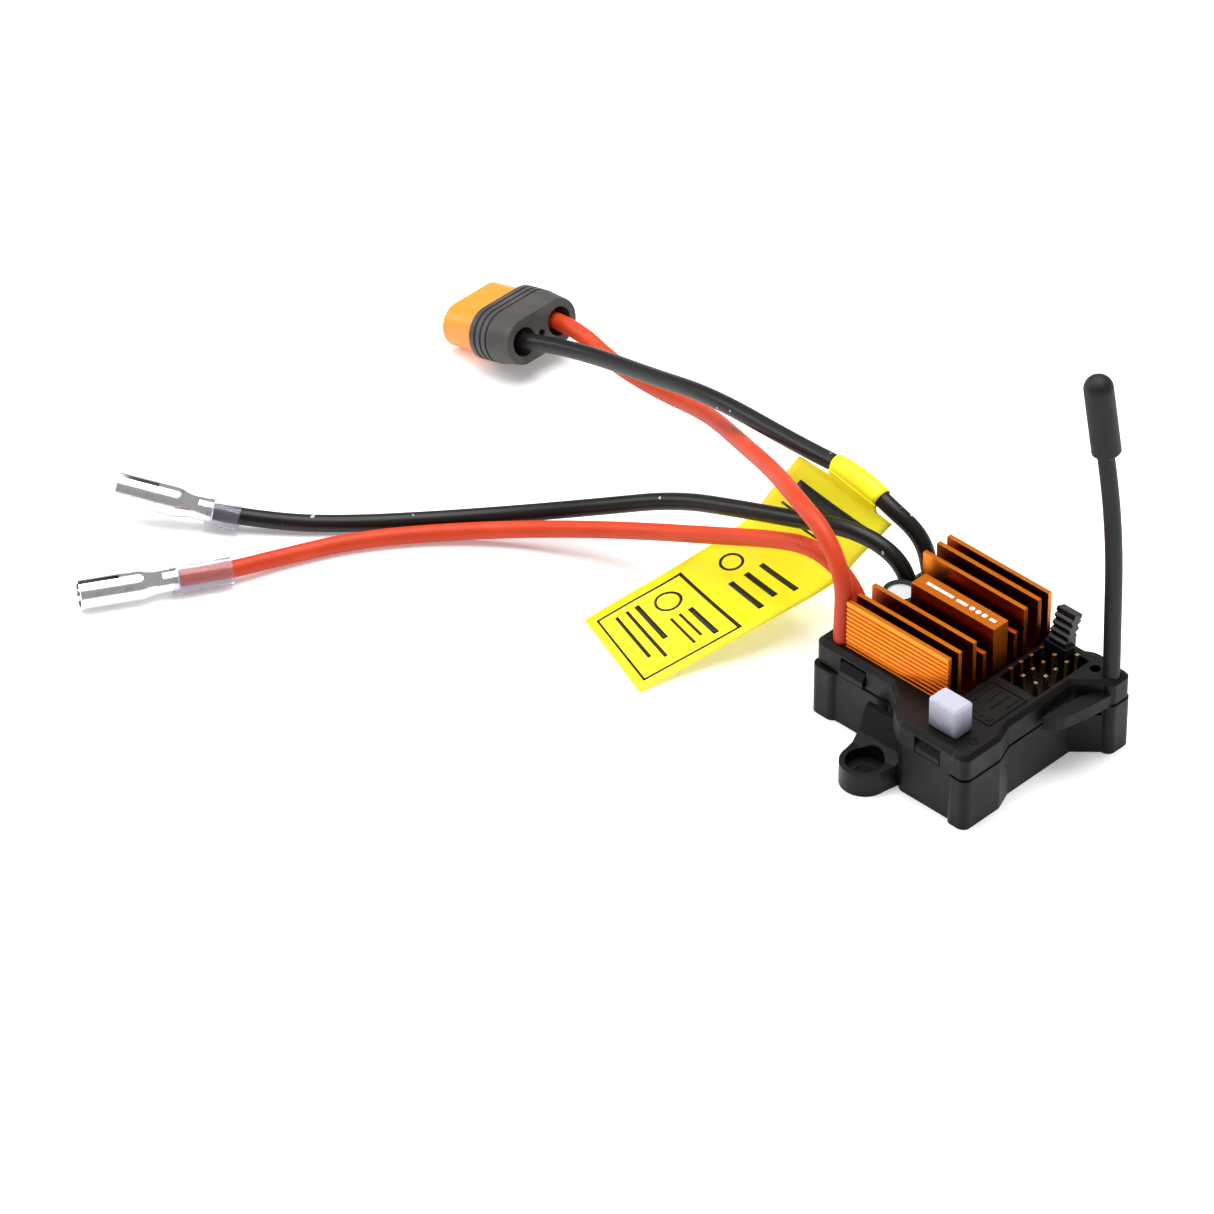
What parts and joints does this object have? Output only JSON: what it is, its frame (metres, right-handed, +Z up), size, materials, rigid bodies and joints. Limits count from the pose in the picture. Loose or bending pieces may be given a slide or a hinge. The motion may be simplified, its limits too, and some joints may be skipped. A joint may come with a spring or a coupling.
{
  "type": "electronic speed controller",
  "caption": "Brushed motor speed controller with built-in receiver: snap case, finned heat sink, slide switch, port header, antenna, battery and motor leads.",
  "frame": {"origin": "middle of the case's flat base", "axes": "+Z up along the antenna, +X towards the end with the switch and the port header, +Y towards the antenna side; the leads leave at -X"},
  "size_m": [0.1706, 0.1162, 0.0769],
  "materials": {
    "case_plastic": "fine-grained black moulded plastic",
    "anodised_orange": "orange anodised extrusion",
    "circuit_board": "green solder mask",
    "chip_plastic": "epoxy package",
    "pad_rubber": "grey heat-conducting pad",
    "capacitor_aluminium": "bright can",
    "capacitor_sleeve": "shrunk sleeve",
    "switch_steel": "stamped steel",
    "soft_clear": "translucent soft cap",
    "black_nylon": "black nylon",
    "gold_plate": "gold plated",
    "antenna_sheath": "black tube",
    "antenna_rubber": "soft black cap",
    "coax": "grey coaxial lead",
    "tinned_copper": "tin",
    "red_silicone": "red silicone insulation",
    "black_silicone": "black silicone insulation",
    "connector_orange": "orange nylon",
    "connector_grey": "dark grey moulding",
    "clear_sleeve": "clear vinyl sleeve",
    "tag_film": "yellow printed film"
  },
  "bodies": {
    "root": {"bottom_shell": "case_plastic", "top_cover": "case_plastic", "main_circuit_board": "circuit_board", "power_transistors": "chip_plastic", "control_chips": "chip_plastic", "thermal_pad": "pad_rubber", "heatsink": "anodised_orange", "capacitor_can": "capacitor_aluminium", "capacitor_sleeve": "capacitor_sleeve", "switch_frame": "switch_steel", "header_bases": "black_nylon", "header_pins": "gold_plate", "bind_button_base": "black_nylon", "antenna_tube": "antenna_sheath", "antenna_lead": "coax", "antenna_cap": "antenna_rubber", "solder_joints": "tinned_copper", "battery_wire_positive": "red_silicone", "battery_wire_negative": "black_silicone", "motor_wire_positive": "red_silicone", "motor_wire_negative": "black_silicone", "connector_cap": "connector_grey", "connector_housing": "connector_orange", "connector_data_contact": "gold_plate", "connector_sockets": "gold_plate", "motor_terminal_positive": "tinned_copper", "motor_terminal_negative": "tinned_copper", "terminal_sleeve_positive": "clear_sleeve", "terminal_sleeve_negative": "clear_sleeve", "wire_tag": "tag_film", "wire_tag_wrap": "tag_film", "receiver_board": "circuit_board", "receiver_chip": "chip_plastic", "board_link_pins": "gold_plate", "status_lamp": "soft_clear", "power_inductor": "chip_plastic"},
    "switch": {"switch_slider": "black_nylon", "switch_cap": "soft_clear"},
    "jumper": {"jumper_cap": "black_nylon", "jumper_contact": "gold_plate"},
    "bind_button": {"bind_button_plunger": "black_nylon"}
  },
  "joints": [
    {"name": "switch_slide", "type": "slide", "parent": "root", "child": "switch", "axis": [1, 0, 0], "range_m": [0, 0.002]},
    {"name": "jumper_pull", "type": "slide", "parent": "root", "child": "jumper", "axis": [0, 0, 1], "range_m": [0, 0.007]},
    {"name": "bind_button_press", "type": "slide", "parent": "root", "child": "bind_button", "axis": [0, 0, -1], "range_m": [0, 0.0003], "stiffness_N_per_m": 500}
  ]
}
